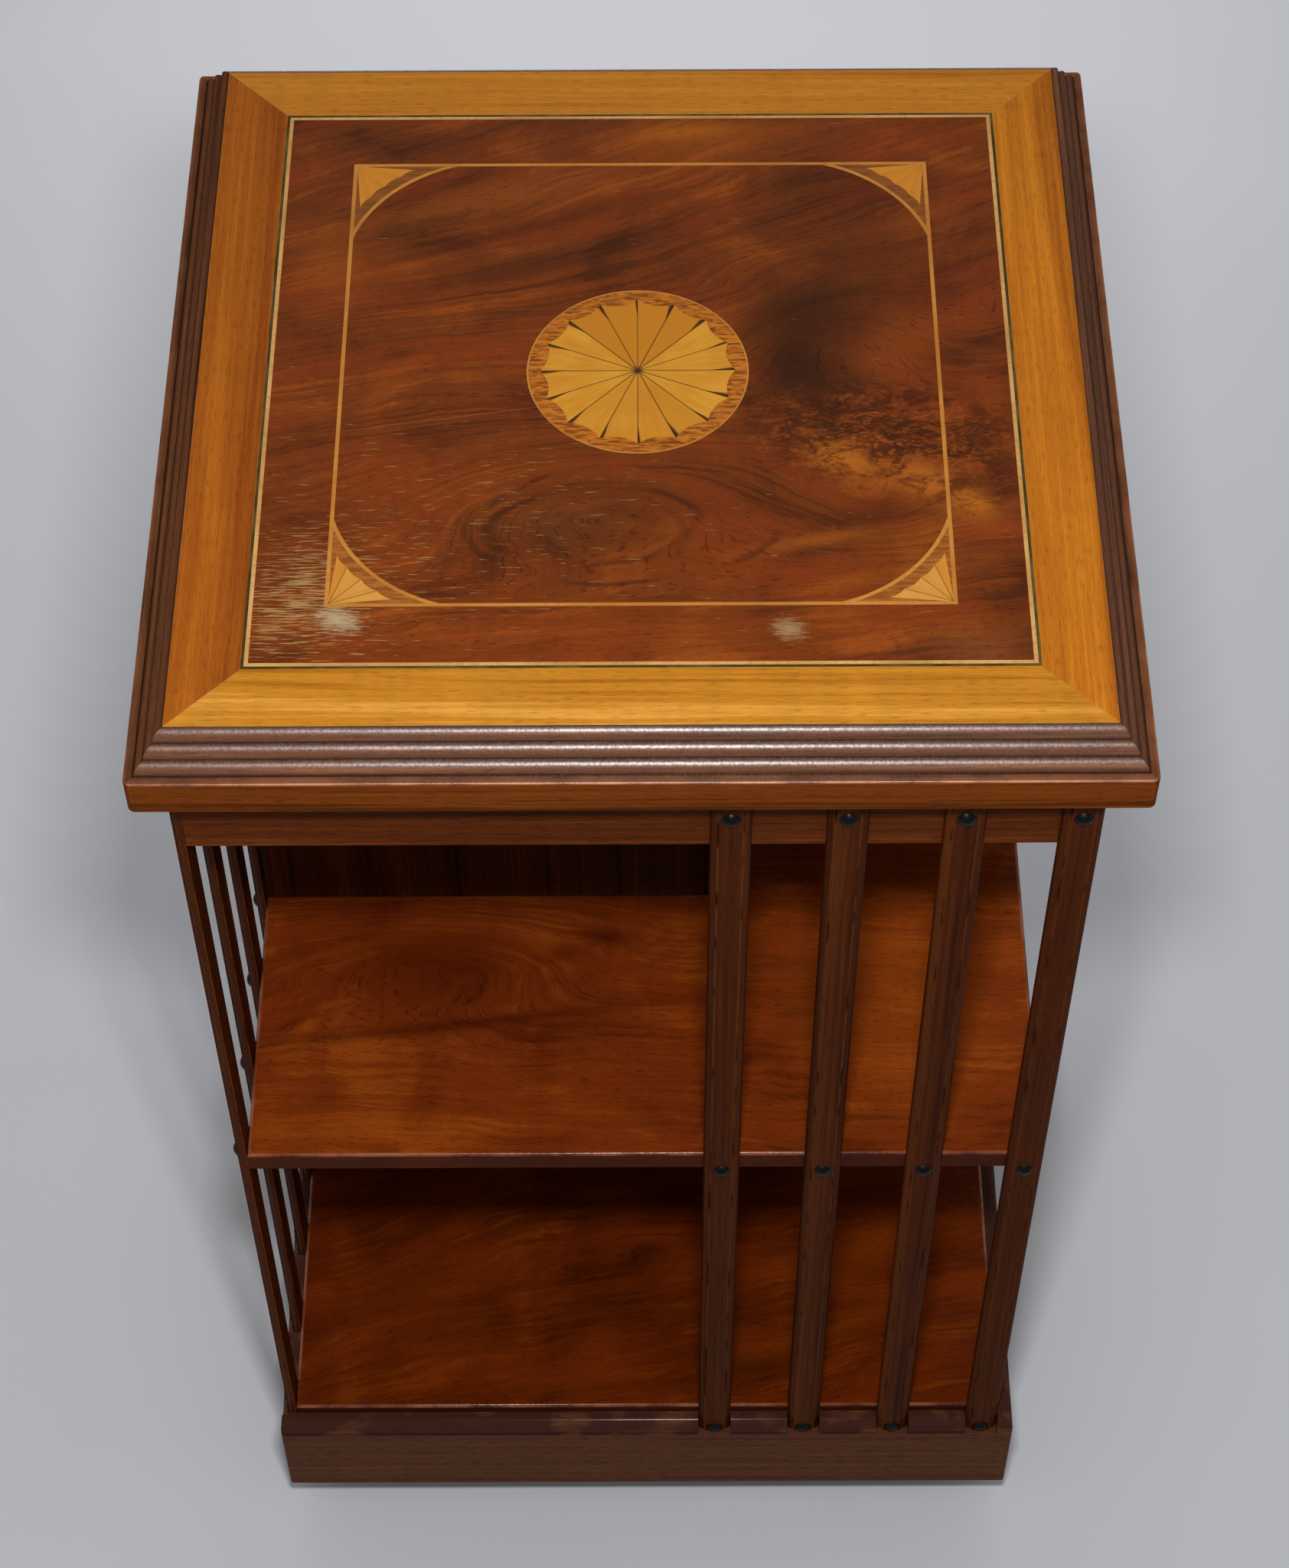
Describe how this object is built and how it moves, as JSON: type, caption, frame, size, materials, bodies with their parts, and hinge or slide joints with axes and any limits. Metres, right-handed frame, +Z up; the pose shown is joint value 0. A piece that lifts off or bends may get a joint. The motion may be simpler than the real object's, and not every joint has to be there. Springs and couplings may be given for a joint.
{
  "type": "revolving bookcase",
  "caption": "Two-tier revolving bookcase in mahogany, with a square inlaid top on a moulded edge, slatted sides and a moulded skirt; the whole case turns on a fixed foot.",
  "frame": {"origin": "on the floor, under the pivot at the middle of the case", "axes": "+Z up along the pivot; -Y is the front face; +X to the right"},
  "size_m": [0.49, 0.49, 0.846],
  "materials": {
    "dark_mahogany": "gloss",
    "case_mahogany": "satin",
    "mahogany_field": "gloss",
    "satinwood": "gloss",
    "boxwood": "gloss",
    "ebonised_line": "gloss",
    "walnut_ground": "gloss",
    "shaded_satinwood": "gloss",
    "groundwork": "matte",
    "foot_hardwood": "matte",
    "black_studs": "gloss",
    "brass": "satin",
    "post_steel": "satin",
    "flange_iron": "matte",
    "glide_steel": "satin"
  },
  "bodies": {
    "stand": {"pivot_post": "post_steel", "post_flange": "flange_iron", "flange_screws": "flange_iron", "cross_bearer_side": "foot_hardwood", "cross_bearer_front": "foot_hardwood", "glides": "glide_steel"},
    "bookcase": {"top_board": "groundwork", "field_veneer": "mahogany_field", "satinwood_banding": "satinwood", "dark_line": "ebonised_line", "boxwood_lines": "boxwood", "fan_grounds": "walnut_ground", "fan_petals": "shaded_satinwood", "medallion_ground": "walnut_ground", "medallion_petals": "shaded_satinwood", "carcase_top": "case_mahogany", "middle_shelf": "case_mahogany", "base_board": "case_mahogany", "slat_studs_upper": "black_studs", "slat_studs_middle": "black_studs", "slat_studs_lower": "black_studs", "lower_bush": "brass", "pivot_cup": "brass", "edge_moulding_front": "dark_mahogany", "frieze_front": "case_mahogany", "skirt_front": "dark_mahogany", "divider_upper_front": "case_mahogany", "divider_lower_front": "case_mahogany", "slat_front_1": "dark_mahogany", "slat_front_2": "dark_mahogany", "slat_front_3": "dark_mahogany", "slat_front_4": "dark_mahogany", "edge_moulding_right": "dark_mahogany", "frieze_right": "case_mahogany", "skirt_right": "dark_mahogany", "divider_upper_right": "case_mahogany", "divider_lower_right": "case_mahogany", "slat_right_1": "dark_mahogany", "slat_right_2": "dark_mahogany", "slat_right_3": "dark_mahogany", "slat_right_4": "dark_mahogany", "edge_moulding_back": "dark_mahogany", "frieze_back": "case_mahogany", "skirt_back": "dark_mahogany", "divider_upper_back": "case_mahogany", "divider_lower_back": "case_mahogany", "slat_back_1": "dark_mahogany", "slat_back_2": "dark_mahogany", "slat_back_3": "dark_mahogany", "slat_back_4": "dark_mahogany", "edge_moulding_left": "dark_mahogany", "frieze_left": "case_mahogany", "skirt_left": "dark_mahogany", "divider_upper_left": "case_mahogany", "divider_lower_left": "case_mahogany", "slat_left_1": "dark_mahogany", "slat_left_2": "dark_mahogany", "slat_left_3": "dark_mahogany", "slat_left_4": "dark_mahogany"}
  },
  "joints": [
    {"name": "revolve", "type": "hinge", "parent": "stand", "child": "bookcase", "pos_m": [0, 0, 0], "axis": [0, 0, 1], "continuous": true}
  ]
}
